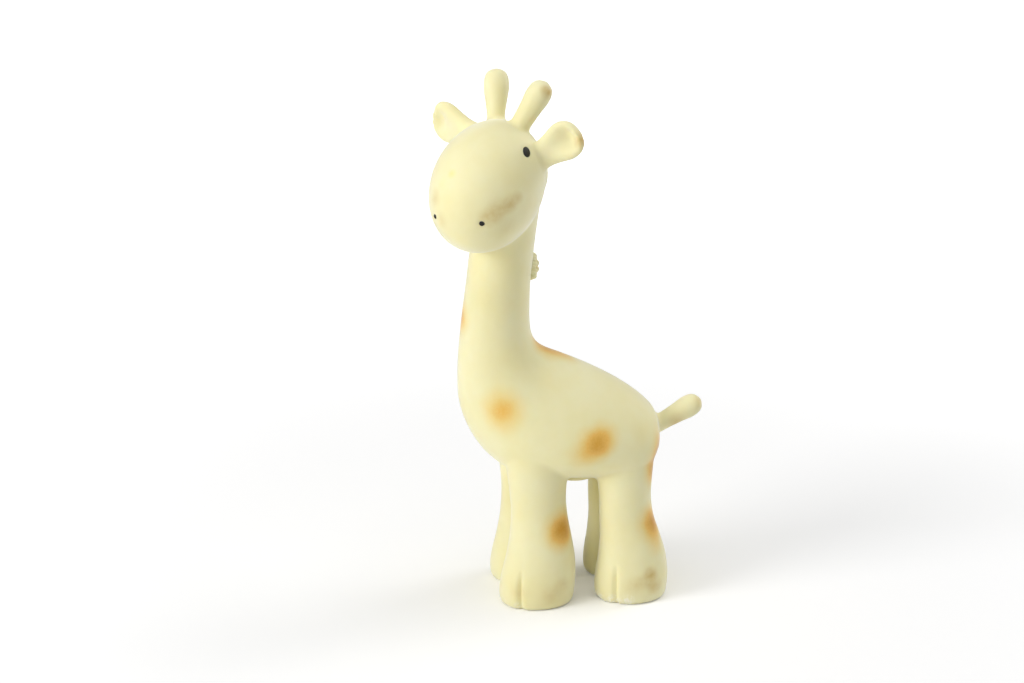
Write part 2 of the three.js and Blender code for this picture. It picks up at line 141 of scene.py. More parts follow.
# %% Torso and neck
RUMP = (0, 31.7, 49.0)
NECK_TOP = (0, -14.0, 131.0)
BODY_SECTIONS = [  # under y, under z, over y, over z, half width, lean towards the belly
    (30.4, 42.4, 31.4, 53.2, 8.0, 0.0),
    (27.3, 38.6, 29.9, 56.7, 13.0, 0.05),
    (22.6, 36.4, 25.3, 61.2, 16.4, 0.1),
    (14.0, 36.4, 18.4, 66.1, 18.2, 0.15),
    (4.0, 36.8, 10.2, 70.7, 18.8, 0.2),
    (-5.5, 37.5, 3.0, 74.1, 18.0, 0.22),
    (-13.4, 39.9, -2.6, 76.6, 16.4, 0.22),
    (-20.0, 44.9, -5.4, 79.0, 14.4, 0.15),
    (-24.8, 51.8, -6.7, 82.2, 12.5, 0.08),
    (-27.8, 60.0, -7.1, 86.0, 11.0, 0.0),
    (-28.4, 68.5, -7.1, 90.0, 10.2, 0.0),
    (-28.0, 77.0, -7.0, 94.5, 9.8, 0.0),
    (-27.0, 87.0, -6.7, 99.5, 9.6, 0.0),
    (-25.6, 98.0, -6.0, 106.0, 9.6, 0.0),
    (-24.4, 107.5, -4.9, 115.0, 10.0, 0.0),
    (-22.2, 116.0, -3.8, 122.5, 10.6, 0.0),
]
BODY_RINGS = 64


def torso_and_neck(bm):
    def section(row):
        under_y, under_z, over_y, over_z, half, lean = row

        def place(angle):
            share = (1 + math.cos(angle)) / 2
            side = half * math.sin(angle) * (1 - lean * math.cos(angle))
            under, over = Vector((side, under_y, under_z)), Vector((side, over_y, over_z))
            return under.lerp(over, share)

        return ring(bm, place)

    rings = [section(row) for row in smooth_rows(BODY_SECTIONS, BODY_RINGS)]
    loft(bm, rings, RUMP, NECK_TOP)


# %% [markdown]
# The legs are stout columns that swell into feet. The shank and the foot have a radius each, and
# the rows say how much of the foot's swell, of the leg's lean, of its tuck under the belly and of
# the calf behind it each height has. The legs are a little narrower across the toy than along it.

# %% Legs
LEG_X = 9.7
LEG_TOP = 58.0
LEG_WIDTH_SHARE = 0.8
LEG_RINGS = 44
LEGS = {
    "front": {"foot_y": -6.2, "foot": 11.3, "shank": 8.3, "lean": -0.2, "tuck": 1.8, "calf": 1.0},
    "rear": {"foot_y": 22.3, "foot": 11.0, "shank": 7.8, "lean": 2.1, "tuck": 4.0, "calf": 0.6},
}
LEG_ROWS = [  # z, then the shares of swell, lean, tuck and calf
    (0.0, 0.55, 0.0, 0.0, 0.0),
    (0.9, 0.84, 0.0, 0.0, 0.0),
    (3.5, 1.0, 0.0, 0.0, 0.0),
    (8.0, 0.98, 0.0, 0.0, 0.4),
    (14.0, 0.72, 0.15, 0.0, 1.0),
    (20.0, 0.38, 0.5, 0.0, 1.0),
    (26.0, 0.1, 0.9, 0.0, 0.6),
    (32.0, 0.0, 1.0, 0.02, 0.2),
    (38.0, 0.14, 1.0, 0.15, 0.0),
    (44.0, 0.34, 1.0, 0.42, 0.0),
    (50.0, 0.2, 1.0, 0.75, 0.0),
    (56.0, -0.9, 1.0, 1.0, 0.0),
]


def leg(bm, side, foot_y, foot, shank, lean, tuck, calf):
    def section(row):
        z, swell, lean_share, tuck_share, calf_share = row
        reach = shank + (foot - shank) * swell
        along = foot_y - lean * lean_share + calf * calf_share
        middle = Vector((side * (LEG_X - tuck * tuck_share), along, z))

        def place(angle):
            across = reach * LEG_WIDTH_SHARE * math.cos(angle)
            return middle + Vector((across, reach * math.sin(angle), 0))

        return ring(bm, place)

    rings = [section(row) for row in smooth_rows(LEG_ROWS, LEG_RINGS)]
    top = (side * (LEG_X - tuck), foot_y - lean, LEG_TOP)
    loft(bm, rings, (side * LEG_X, foot_y, 0), top)


def all_legs(bm):
    for side in (1, -1):
        for sizes in LEGS.values():
            leg(bm, side, **sizes)


# %% [markdown]
# The head is an egg whose narrow end points down and forward, with a rounder skull behind it. Both
# are spheres, stretched by a matrix. The skull, horns and ears are placed in the head's own frame,
# which is turned to the toy's left. The egg with the face on it is turned a little further.

# %% Head
HEAD_CENTRE = (4.8, -20.0, 127.5)
HEAD_TURN = math.radians(43)
HEAD_PITCH = math.radians(36)
FACE_TURN = math.radians(9.4)
HEAD_HALF = (15.9, 20.9, 16.6)
CRANIUM_RADIUS = 13.3
CRANIUM_PLACE = (0, 6.6, 2.5)
HEAD_FRAME = Matrix.Translation(HEAD_CENTRE) @ Matrix.Rotation(HEAD_TURN, 4, "Z")
FACE_FRAME = HEAD_FRAME @ Matrix.Rotation(FACE_TURN, 4, "Z")
PITCH = Matrix.Rotation(HEAD_PITCH, 4, "X")


def sphere(bm, matrix, around=64, rows=32):
    bmesh.ops.create_uvsphere(bm, u_segments=around, v_segments=rows, radius=1, matrix=matrix)


def head(bm):
    sphere(bm, FACE_FRAME @ PITCH @ Matrix.Diagonal((*HEAD_HALF, 1)))
    skull = Matrix.Translation(CRANIUM_PLACE) @ Matrix.Scale(CRANIUM_RADIUS, 4)
    sphere(bm, HEAD_FRAME @ skull)


# %% [markdown]
# The two horns and the tail are clubs: a pinched root and a fuller, rounded head. A club is round
# about its own line, so its outline is drawn once, on one side, and spun about the axis.

# %% Horns and tail
HORNS = {
    1: {"root": (2.6, 8.2, 13.0), "tip": (9.1, 15.8, 29.2), "root_radius": 2.9, "radius": 3.75},
    -1: {"root": (4.0, 8.8, 13.0), "tip": (9.6, 16.2, 30.4), "root_radius": 2.6, "radius": 3.8},
}
TAIL = {"root": (0, 29.5, 49.3), "tip": (0, 45.1, 57.9), "root_radius": 2.6, "radius": 3.4}
CLUB_RINGS = 30
CLUB_ROWS = [  # place along the club, shares of the root's and of the head's radius
    (0.0, 1.0, 0.0),
    (0.3, 1.05, 0.0),
    (0.55, 0.0, 0.9),
    (0.73, 0.0, 1.0),
    (0.91, 0.0, 0.8),
    (1.0, 0.0, 0.0),
]
WELD = 1e-4


def turned(bm, profile, steps=48):
    """Spins a profile of radius and height about the z axis into a closed form."""
    verts = [bm.verts.new((radius, 0, height)) for radius, height in profile]
    edges = [bm.edges.new(pair) for pair in zip(verts, verts[1:])]
    spin = {"cent": (0, 0, 0), "axis": (0, 0, 1), "angle": math.tau, "steps": steps}
    bmesh.ops.spin(bm, geom=verts + edges, use_merge=True, **spin)
    bmesh.ops.remove_doubles(bm, verts=bm.verts, dist=WELD)
    bmesh.ops.recalc_face_normals(bm, faces=bm.faces)


def add_copy(bm, source, matrix):
    """Adds a finished small form to a bigger one, at its place."""
    bmesh.ops.transform(source, matrix=matrix, verts=source.verts)
    if matrix.determinant() < 0:
        bmesh.ops.reverse_faces(source, faces=source.faces)
    mesh = finished_mesh(source, "copy")
    bm.from_mesh(mesh)
    bpy.data.meshes.remove(mesh)


def club(bm, side, carrier, root, tip, root_radius, radius):
    """A club from root to tip, given in the frame of what carries it."""
    start = Vector((side * root[0], root[1], root[2]))
    line = Vector((side * tip[0], tip[1], tip[2])) - start
    profile = [(0, 0)]
    for place, root_share, head_share in smooth_rows(CLUB_ROWS, CLUB_RINGS):
        reach = root_share * root_radius + head_share * radius
        profile.append((max(0, reach), place * line.length))
    own = bmesh.new()
    turned(own, profile)
    turn = line.to_track_quat("Z", "Y").to_matrix().to_4x4()
    add_copy(bm, own, carrier @ Matrix.Translation(start) @ turn)


def horns_and_tail(bm):
    club(bm, 1, Matrix.Identity(4), **TAIL)
    for side, sizes in HORNS.items():
        club(bm, side, HEAD_FRAME, **sizes)


# %% [markdown]
# An ear is a spoon: a flat tube whose front side is pressed in to a cup. The same loft makes it,
# along its own line. Each row gives the place along the ear, the shares of its width and of its
# thickness, and how deep the cup is there. A higher cup edge keeps the cup nearer the middle line.

# %% Ears
EARS = {
    1: {"root": (8.4, 10.0, 6.6), "tip": (23.9, 11.4, 17.4), "width": 5.8, "cup": 1.5},
    -1: {"root": (10.5, 8.6, 10.4), "tip": (27.0, 8.8, 15.0), "width": 6.7, "cup": 1.15},
}
EAR_FACING = (0, -1, -0.25)
EAR_THICKNESS = 2.85
EAR_RINGS = 40
CUP_EDGE = 4
EAR_ROWS = [  # place along the ear, shares of its width, its thickness and its cup
    (0.0, 0.76, 1.0, 0.0),
    (0.25, 0.72, 1.05, 0.0),
    (0.45, 0.83, 1.1, 0.25),
    (0.66, 1.0, 1.1, 0.6),
    (0.82, 0.95, 1.0, 1.0),
    (0.93, 0.74, 0.85, 0.5),
    (0.985, 0.4, 0.5, 0.0),
]


def ear(bm, side, root, tip, width, cup):
    start = HEAD_FRAME @ Vector((side * root[0], root[1], root[2]))
    end = HEAD_FRAME @ Vector((side * tip[0], tip[1], tip[2]))
    along = end - start
    forward = HEAD_FRAME.to_3x3() @ Vector(EAR_FACING)
    forward = (forward - forward.project(along)).normalized()
    across = along.normalized().cross(forward)

    def section(row):
        place_share, width_share, thickness_share, cup_share = row

        def place(angle):
            front = max(0, math.sin(angle))
            pressed = 1 - cup * cup_share * front**CUP_EDGE
            out = thickness_share * EAR_THICKNESS * math.sin(angle) * pressed
            middle = start + along * place_share
            return middle + across * width_share * width * math.cos(angle) + forward * out

        return ring(bm, place)

    loft(bm, [section(row) for row in smooth_rows(EAR_ROWS, EAR_RINGS)], start, end)


def ears(bm):
    for side, sizes in EARS.items():
        ear(bm, side, **sizes)


# %% [markdown]
# A short mane tuft stands on the back of the neck: a row of four rounded locks, the outer two
# smaller. They are squashed spheres that overlap, like thumb prints in clay. A lock as many locks
# from the middle as the taper says would have no size.

# %% Mane tuft
TUFT_LOCKS = 4
TUFT_PLACE = (0, -6.6, 101.6)
TUFT_HEIGHT = 7.3
TUFT_PROUD = 2.5
TUFT_HALF_WIDTH = 2.6
TUFT_TAPER = 2.3
LOCK_OVERLAP = 1.6


def tuft(bm):
    pitch = TUFT_HEIGHT / TUFT_LOCKS
    for lock in range(TUFT_LOCKS):
        high = lock - (TUFT_LOCKS - 1) / 2
        bulge = math.sqrt(1 - (high / TUFT_TAPER) ** 2)
        half = (TUFT_HALF_WIDTH * bulge, TUFT_PROUD * bulge, LOCK_OVERLAP * pitch / 2)
        place = Matrix.Translation(Vector(TUFT_PLACE) + Vector((0, 0, high * pitch)))
        sphere(bm, place @ Matrix.Diagonal((*half, 1)), around=32, rows=16)


# %% [markdown]
# The real toy is cast in one piece, so the forms have to become one skin. A voxel remesh does what
# the mould does: it keeps only the outside of what overlaps. Its cells are small against the
# forms, and the faces come out even, which suits the sculpting that follows. The tuft is finer
# than these cells, so it waits until the end.

# %% Fuse the forms into one skin
SKIN_VOXEL = 0.64


def fused(name, makers, voxel, inset=0.0):
    """Makes the forms, all smaller by the inset, and fuses them; returns the new mesh, in mm."""
    bm = bmesh.new()
    for maker in makers:
        maker(bm)
    bmesh.ops.recalc_face_normals(bm, faces=bm.faces)
    bm.normal_update()
    for vert in bm.verts:
        vert.co -= vert.normal * inset
    forms = finished_mesh(bm, name + "_forms")
    helper = in_scene(forms.name, forms)
    remesh = helper.modifiers.new("fuse", "REMESH")
    remesh.mode = "VOXEL"
    remesh.voxel_size = voxel
    remesh.adaptivity = 0
    mesh = modified_mesh(helper)
    mesh.name = name
    bpy.data.objects.remove(helper)
    bpy.data.meshes.remove(forms)
    print(name, len(mesh.vertices), "points")
    return mesh


outer_forms = [torso_and_neck, all_legs, head, horns_and_tail, ears]
skin_mesh = fused("skin", outer_forms, SKIN_VOXEL)

# %% [markdown]
# Fused forms meet in hard creases, which a mould maker fills with the thumb. Plain smoothing would
# also shrink the horns and the ears. So this step moves only the points that lie in a valley:
# those whose neighbours' middle lies outwards of them, and by more than in a fillet of the wanted
# radius. Repeated, it grows that fillet in every crease, and it leaves the round outside and the
# cups of the ears as they are. A few plain rounds then take off the cells.

# %% Fill the creases and smooth the skin
FILLET_RADIUS = 2.2
FILLET_ROUNDS = 52
POLISH_ROUNDS = 3
STEP = 0.5
HEAD_LOW = 112.0
HEAD_SHARE = 0.25
LEG_SHARE = 0.15
INNER_X = 13.0
INNER_FADE = 5.0


def read_points(mesh):
    points = np.empty(len(mesh.vertices) * 3)
    mesh.vertices.foreach_get("co", points)
    return points.reshape(-1, 3)


def write_points(mesh, points):
    mesh.vertices.foreach_set("co", points.ravel())
    mesh.update()


def read_normals(mesh):
    normals = np.empty(len(mesh.vertices) * 3)
    mesh.vertex_normals.foreach_get("vector", normals)
    return normals.reshape(-1, 3)


def neighbour_pull(mesh):
    """Returns a function that gives, for all points, the way to the middle of their neighbours."""
    ends = np.empty(len(mesh.edges) * 2, int)
    mesh.edges.foreach_get("vertices", ends)
    here = np.concatenate([ends[0::2], ends[1::2]])
    there = np.concatenate([ends[1::2], ends[0::2]])
    count = len(mesh.vertices)
    links = np.bincount(here, minlength=count)

    def pull(points):
        sums = [np.bincount(here, points[there, axis], count) for axis in range(3)]
        return np.stack(sums, axis=1) / links[:, None] - points

    return pull


def soften(mesh, rounds):
    """Moves every point part of the way to the middle of its neighbours."""
    points = read_points(mesh)
    pull = neighbour_pull(mesh)
    for _ in range(rounds):
        points += STEP * pull(points)
    write_points(mesh, points)


def fill_creases(mesh, rounds, radius, share):
    """Fills what is tighter than a hollow of this radius; share slows it down where it is low."""
    points = read_points(mesh)
    pull = neighbour_pull(mesh)
    enough = SKIN_VOXEL**2 / (4 * radius)
    for _ in range(rounds):
        way = pull(points)
        outward = (way * read_normals(mesh)).sum(axis=1)
        grip = np.clip(1 - enough / np.maximum(outward, enough), 0, 1)
        points += STEP * way * grip[:, None] * share
        write_points(mesh, points)


def crease_share(mesh):
    """How far creases are filled: a little on the head and outside the legs, fully elsewhere."""
    points = read_points(mesh)
    inner = np.clip((INNER_X - np.abs(points[:, 0])) / INNER_FADE, 0, 1)
    legs = LEG_SHARE + (1 - LEG_SHARE) * inner
    share = np.where(points[:, 2] < LEG_TOP, legs, 1.0)
    share[points[:, 2] > HEAD_LOW] = HEAD_SHARE
    return share[:, None]


fill_creases(skin_mesh, FILLET_ROUNDS, FILLET_RADIUS, crease_share(skin_mesh))
soften(skin_mesh, POLISH_ROUNDS)

# %% [markdown]
# Two grooves on the front of each foot part the toes. They are pressed into the finished skin: each
# point near a groove's line moves towards the middle of the leg, by a depth that dies away to the
# sides and at the groove's upper end. The eyes and nostrils lie in shallow dishes, pressed in too.

# %% Press the toe grooves
GROOVE_ANGLE = math.radians(56)
GROOVE_DEPTH = 1.15
GROOVE_HALF_WIDTH = 0.75
GROOVE_TOP = 13.0
FOOT_REACH = 1.15


def press_toes(mesh):
    """Presses two grooves into each foot, in the elliptical terms of the legs' sections."""
    points = read_points(mesh)
    for side, sizes in ((side, sizes) for side in (1, -1) for sizes in LEGS.values()):
        out_x = (points[:, 0] - side * LEG_X) / LEG_WIDTH_SHARE
        out_y = points[:, 1] - sizes["foot_y"]
        reach = np.hypot(out_x, out_y)
        angle = np.arctan2(out_x, -out_y)
        rise = np.clip((GROOVE_TOP - points[:, 2]) / (GROOVE_TOP / 2), 0, 1)
        on_foot = (reach < sizes["foot"] * FOOT_REACH) & (points[:, 2] < GROOVE_TOP)
        for turn in (-GROOVE_ANGLE, GROOVE_ANGLE):
            apart = np.abs(angle - turn) * reach
            depth = GROOVE_DEPTH * np.exp(-((apart / GROOVE_HALF_WIDTH) ** 2))
            depth *= np.sin(math.pi / 2 * rise) * on_foot
            inward = depth / np.maximum(reach, 1)
            points[:, 0] -= out_x * LEG_WIDTH_SHARE * inward
            points[:, 1] -= out_y * inward
    write_points(mesh, points)


press_toes(skin_mesh)

# %% Seat the soles on the floor
SOLE_BAND = 0.2
SOLE_ROUNDS = 6


def flatten_soles(mesh):
    """Presses the lowest points to the floor and spreads them evenly there."""
    points = read_points(mesh)
    pull = neighbour_pull(mesh)
    low = points[:, 2] < SOLE_BAND
    points[low, 2] = 0
    for _ in range(SOLE_ROUNDS):
        points[low, :2] += STEP * pull(points)[low, :2]
    write_points(mesh, points)


flatten_soles(skin_mesh)

# %% [markdown]
# Under the left hind foot a thin ragged edge was left when the sole was trimmed. It is a band of
# points just over the floor that noise pushes outwards, on the part of the rim that faces front.

# %% Leave a ragged edge under one foot
RAGGED_HEIGHT = 1.5
RAGGED_PROUD = 0.7
RAGGED_GRAIN = 1.1
RAGGED_MIDDLE = math.radians(45)
RAGGED_HALF = math.radians(55)
RAGGED_FADE = 0.5
RAGGED_BIAS = 0.25
RAGGED_FROM = 5.5
RAGGED_TO = 12.0


def leave_ragged_edge(mesh, foot_y):
    """Pushes noise out of the sole's rim, between two distances from the foot's middle."""
    points = read_points(mesh)
    out_x, out_y = (points[:, 0] - LEG_X) / LEG_WIDTH_SHARE, points[:, 1] - foot_y
    angle = np.arctan2(out_x, -out_y)
    fade = np.clip(1 - np.abs(angle - RAGGED_MIDDLE) / RAGGED_HALF, 0, 1) ** RAGGED_FADE
    reach = np.hypot(out_x, out_y)
    band = (points[:, 2] < RAGGED_HEIGHT) & (fade > 0)
    band &= (reach > RAGGED_FROM) & (reach < RAGGED_TO)
    for index in np.flatnonzero(band):
        x, y, z = points[index]
        torn = max(0, noise.noise(Vector((x, y, z)) / RAGGED_GRAIN) + RAGGED_BIAS)
        push = RAGGED_PROUD * torn * fade[index] * (1 - z / RAGGED_HEIGHT) / reach[index]
        points[index, 0] += push * out_x[index] * LEG_WIDTH_SHARE
        points[index, 1] += push * out_y[index]
    write_points(mesh, points)
    print(int(band.sum()), "points in the ragged edge")


leave_ragged_edge(skin_mesh, LEGS["rear"]["foot_y"])

# %% [markdown]
# Eyes and nostrils are drops of black paint. Each lies on the egg of the head, so its place is the
# point of the egg under a chosen spot, and its frame stands on the egg's surface there. The same
# frame is used for the dish in the skin and for the drop of paint.

# %% Frames of the painted dots
EYE = {"place": (12.3, 1.1, 11.4), "half": (1.52, 2.05, 0.7), "lean": 54}
NOSTRIL = {"place": (7.7, -16.8, -6.0), "half": (0.9, 0.78, 0.6), "lean": 30}
PAINT_PROUD = 0.25


def dot_frame(side, place, half, lean):
    """The frame of a painted dot, in mm: z stands out of the egg's surface and y leans as told."""
    in_egg = PITCH.inverted() @ Vector((side * place[0], place[1], place[2]))
    squares = Vector([size**2 for size in HEAD_HALF])
    reach = math.sqrt(sum(in_egg[i] ** 2 / squares[i] for i in range(3)))
    on_surface = in_egg / reach
    normal = Vector([on_surface[i] / squares[i] for i in range(3)]).normalized()
    normal = PITCH.to_3x3() @ normal
    across = Vector((0, 0, 1)).cross(normal).normalized()
    axes = Matrix((across, normal.cross(across), normal)).transposed().to_4x4()
    tilt = Matrix.Rotation(-side * math.radians(lean), 4, "Z")
    return FACE_FRAME @ Matrix.Translation(PITCH @ on_surface) @ axes @ tilt


# %% Press the dishes of the eyes and nostrils
DISH_DEPTH = 0.25
DISH_SPREAD = 1.25
DISH_EDGE = 4


def press_dish(mesh, side, dot):
    """Presses a dish that is a little wider than the dot; a higher DISH_EDGE steepens its rim."""
    dot_place = dot_frame(side, **dot)
    to_dot = dot_place.inverted()
    points = read_points(mesh)
    local = points @ np.array(to_dot.to_3x3()).T + np.array(to_dot.translation)
    half = dot["half"]
    away = np.hypot(local[:, 0] / half[0], local[:, 1] / half[1]) / DISH_SPREAD
    depth = DISH_DEPTH * np.exp(-(away**DISH_EDGE)) * (np.abs(local[:, 2]) < half[1])
    points -= depth[:, None] * np.array(dot_place.to_3x3().col[2])
    write_points(mesh, points)


for dot_side in (1, -1):
    for dot_sizes in (EYE, NOSTRIL):
        press_dish(skin_mesh, dot_side, dot_sizes)

# %% [markdown]
# The skin is hollow, with a wall of 2.4 mm: the latex is poured into a plaster mould and the rest
# is tipped out again. The horns, ears, tail and tuft are too thin for that and fill up. So the
# hollow is fused from the other forms, each made smaller by the wall, with coarser cells. Round
# the plug its floor is raised to one level, so that the plug's lip has a seat, and the hollow legs
# keep clear of that seat.

# %% The hollow
WALL = 2.4
HOLLOW_VOXEL = 1.5
HOLLOW_ROUNDS = 2
SEAT_TOP = 39.9
BELLY_LOW = 36.0
PAD_RADIUS = 8.0


def hollow():
    mesh = fused("hollow", [torso_and_neck, all_legs, head], HOLLOW_VOXEL, WALL)
    soften(mesh, HOLLOW_ROUNDS)
    points = read_points(mesh)
    away = points[:, :2] - (0, PLUG_Y)
    reach = np.hypot(away[:, 0], away[:, 1])[:, None]
    low = (reach[:, 0] < PAD_RADIUS) & (points[:, 2] < SEAT_TOP)
    in_leg = low & (points[:, 2] < BELLY_LOW)
    points[in_leg, :2] += (away * (PAD_RADIUS / reach - 1))[in_leg]
    points[low & ~in_leg, 2] = SEAT_TOP
    write_points(mesh, points)
    return mesh


# %% Cut the hollow and the pour hole
PLUG_GAP = 0.15
RECESS_Z = 36.1
SEAT_LOW = 37.3
DISC_RADIUS = 6.2
SHANK_RADIUS = 4.6
PLUG_STEPS = 96
CUT_BELOW = 2
CUT_ABOVE = 3
CRUMB_POINTS = 50
SLIVER = 0.01


def hole_cutter():
    """The room of the plug: a recess for its disc and the hole for its shank."""
    recess, hole = DISC_RADIUS + PLUG_GAP, SHANK_RADIUS + PLUG_GAP
    below, above = RECESS_Z - CUT_BELOW, SEAT_TOP + CUT_ABOVE
    bm = bmesh.new()
    turned(bm, [
        (0, below), (recess, below), (recess, SEAT_LOW),
        (hole, SEAT_LOW), (hole, above), (0, above),
    ], PLUG_STEPS)
    bmesh.ops.translate(bm, vec=(0, PLUG_Y, 0), verts=bm.verts)
    return finished_mesh(bm, "pour_hole")


def cut_away(piece, cutters):
    for cutter in cutters:
        tool = in_scene("cutter", cutter)
        cut = piece.modifiers.new("cut", "BOOLEAN")
        cut.operation = "DIFFERENCE"
        cut.solver = "MANIFOLD"
        cut.object = tool
        result = modified_mesh(piece)
        result.materials.clear()
        piece.modifiers.clear()
        piece.data = result
        bpy.data.objects.remove(tool)


def loose_parts(bm):
    """The groups of points that hang together by edges."""
    left = set(bm.verts)
    while left:
        part = rim = {left.pop()}
        while rim:
            rim = {edge.other_vert(vert) for vert in rim for edge in vert.link_edges} - part
            part = part | rim
        left -= part
        yield part


def drop_crumbs(mesh):
    """Deletes slivers, and the loose crumbs of a few points that the fusing leaves."""
    bm = bmesh.new()
    bm.from_mesh(mesh)
    bmesh.ops.dissolve_degenerate(bm, dist=SLIVER, edges=bm.edges)
    crumbs = [vert for part in loose_parts(bm) if len(part) < CRUMB_POINTS for vert in part]
    bmesh.ops.delete(bm, geom=crumbs, context="VERTS")
    bm.to_mesh(mesh)
    bm.free()
    print(len(crumbs), "loose points dropped")


giraffe_skin = in_scene("giraffe_skin", skin_mesh)
cut_away(giraffe_skin, [hollow(), hole_cutter()])
drop_crumbs(giraffe_skin.data)

# %% [markdown]
# The mane tuft joins the skin now. It is fused with cells of its own, a third as wide, and noise
# presses small pits into it, which the mould's chisel left.

# %% Add the mane tuft
TUFT_VOXEL = 0.2
TUFT_ROUNDS = 3
PIT_SIZE = 0.8
PIT_DEPTH = 0.45


def pitted_tuft():
    mesh = fused("tuft", [tuft], TUFT_VOXEL)
    soften(mesh, TUFT_ROUNDS)
    points, normals = read_points(mesh), read_normals(mesh)
    for index, point in enumerate(points.copy()):
        depth = max(0, noise.noise(Vector(point) / PIT_SIZE))
        points[index] -= normals[index] * PIT_DEPTH * depth
    write_points(mesh, points)
    return mesh


def join_mesh(piece, addition):
    bm = bmesh.new()
    bm.from_mesh(piece.data)
    bm.from_mesh(addition)
    bm.to_mesh(piece.data)
    bm.free()
    bpy.data.meshes.remove(addition)


join_mesh(giraffe_skin, pitted_tuft())
triangles = sum(face.loop_total - 2 for face in giraffe_skin.data.polygons)
print("skin with its hollow", triangles, "triangles")

# %% [markdown]
# A finished piece has its place in its mesh, in metres, and its object at the frame's zero. Soft
# shading hides the small faces, and edges sharper than a set angle stay crisp, as at the rim of
# the pour hole.

# %% Finish a piece
SHARP_ANGLE = math.radians(42)


def settle(piece, body, node):
    """Brings a piece into the frame, shades it, ties it to its body and hides its CAD node."""
    piece.data.transform(TO_FRAME)
    piece.data.shade_smooth()
    piece.data.set_sharp_from_angle(angle=SHARP_ANGLE)
    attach(piece, body)
    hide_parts(node)


settle(giraffe_skin, "moulding", "body_moulding")

# %% [markdown]
# The black dots are thin drops of paint with a rounded top. A squashed sphere that stands a quarter
# of a millimetre out of the skin gives each one its rim of light.

# %% Painted eyes and nostrils
def painted_dot(node, side, dot):
    """A drop of paint in the place of a node, sunk into its dish."""
    bm = bmesh.new()
    sunk = Matrix.Translation((0, 0, PAINT_PROUD - dot["half"][2] - DISH_DEPTH / 2))
    squash = Matrix.Diagonal((*dot["half"], 1))
    sphere(bm, dot_frame(side, **dot) @ sunk @ squash, around=40, rows=20)
    name = "painted_" + node
    piece = in_scene(name, finished_mesh(bm, name))
    settle(piece, "moulding", node)
    return piece


painted_dots = []
for word, dot_side in (("left", 1), ("right", -1)):
    painted_dots.append(painted_dot("eye_" + word, dot_side, EYE))
    painted_dots.append(painted_dot("nostril_" + word, dot_side, NOSTRIL))
print(len(painted_dots), "painted dots")

# %% [markdown]
# A rubber plug closes the pour hole: a disc that stands a little proud of the belly, a shank, and
# a lip that snaps over the seat inside. It is round, so its outline is spun, and the rims get a
# small bevel.

# %% Plug of the pour hole
LIP_RADIUS = 5.8
LIP_THICKNESS = 1.2
RIM_BEVEL = 0.25


def round_rims(bm, width):
    """Bevels the sharp edges of a turned form."""
    sharp = [
        edge for edge in bm.edges if edge.is_manifold and edge.calc_face_angle() > SHARP_ANGLE
    ]
    bevel = {"offset": width, "segments": 3, "profile": 0.5, "affect": "EDGES", "material": -1}
    bmesh.ops.bevel(bm, geom=sharp, **bevel)


def plug_mesh():
    top = SEAT_TOP + LIP_THICKNESS
    bm = bmesh.new()
    turned(bm, [
        (0, RECESS_Z), (DISC_RADIUS, RECESS_Z), (DISC_RADIUS, SEAT_LOW), (SHANK_RADIUS, SEAT_LOW),
        (SHANK_RADIUS, SEAT_TOP), (LIP_RADIUS, SEAT_TOP), (SHANK_RADIUS, top), (0, top),
    ], PLUG_STEPS)
    round_rims(bm, RIM_BEVEL)
    bmesh.ops.translate(bm, vec=(0, PLUG_Y, 0), verts=bm.verts)
    return finished_mesh(bm, "belly_stopper")


belly_stopper = in_scene("belly_stopper", plug_mesh())
settle(belly_stopper, "moulding", "belly_plug")

# %% [markdown]
# Inside the belly lies the rattle: a hollow ball of two plastic halves, with steel beads. Nobody
# sees it, but it is what the toy holds, so it is made as carefully: each half is a spun outline
# with its lip joint, and the beads are plain balls where the CAD has them.

# %% Rattle ball
CAPSULE_RADIUS = 9.0
CAPSULE_INNER = 7.8
LIP_MIDDLE = 8.4
LIP_HEIGHT = 1.4
LIP_FIT = 0.1
CAPSULE_MIDDLE = (0, PLUG_Y, 50.4)
CAPSULE_STEPS = 64


def arc(radius, start, end, steps=24):
    """Points of radius and height along part of a ball's outline, angles in degrees."""
    angles = np.radians(np.linspace(start, end, steps + 1))
    return [(max(0, radius * math.cos(angle)), radius * math.sin(angle)) for angle in angles]


def capsule_half(name, profile, node):
    bm = bmesh.new()
    turned(bm, profile, CAPSULE_STEPS)
    bmesh.ops.translate(bm, vec=CAPSULE_MIDDLE, verts=bm.verts)
    piece = in_scene(name, finished_mesh(bm, name))
    settle(piece, "rattle_capsule", node)
    return piece


socket_radius, socket_top = LIP_MIDDLE + LIP_FIT, LIP_HEIGHT + LIP_FIT
socket_angle = math.degrees(math.asin(socket_top / CAPSULE_INNER))
lower_profile = arc(CAPSULE_RADIUS, -90, 0) + [(LIP_MIDDLE, 0), (LIP_MIDDLE, LIP_HEIGHT)]
lower_profile += [(CAPSULE_INNER, LIP_HEIGHT)] + arc(CAPSULE_INNER, 0, -90)
upper_profile = arc(CAPSULE_RADIUS, 90, 0) + [(socket_radius, 0), (socket_radius, socket_top)]
upper_profile += arc(CAPSULE_INNER, socket_angle, 90)
rattle_halves = [
    capsule_half("rattle_ball_lower", lower_profile, "rattle_capsule_lower"),
    capsule_half("rattle_ball_upper", upper_profile, "rattle_capsule_upper"),
]

# %% Beads
BEADS = 5
BEAD_RADIUS = 1.25


def steel_ball(number):
    node = f"rattle_bead_{number}"
    low, high = (Vector(corner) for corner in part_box(node))
    middle = TO_FRAME.inverted() @ ((low + high) / 2)
    place = Matrix.Translation(middle)
    bm = bmesh.new()
    bmesh.ops.create_icosphere(bm, subdivisions=3, radius=BEAD_RADIUS, matrix=place)
    name = f"steel_ball_{number}"
    piece = in_scene(name, finished_mesh(bm, name))
    settle(piece, f"bead_{number}", node)
    return piece


steel_balls = [steel_ball(number) for number in range(1, BEADS + 1)]
print(len(steel_balls), "beads in the rattle")

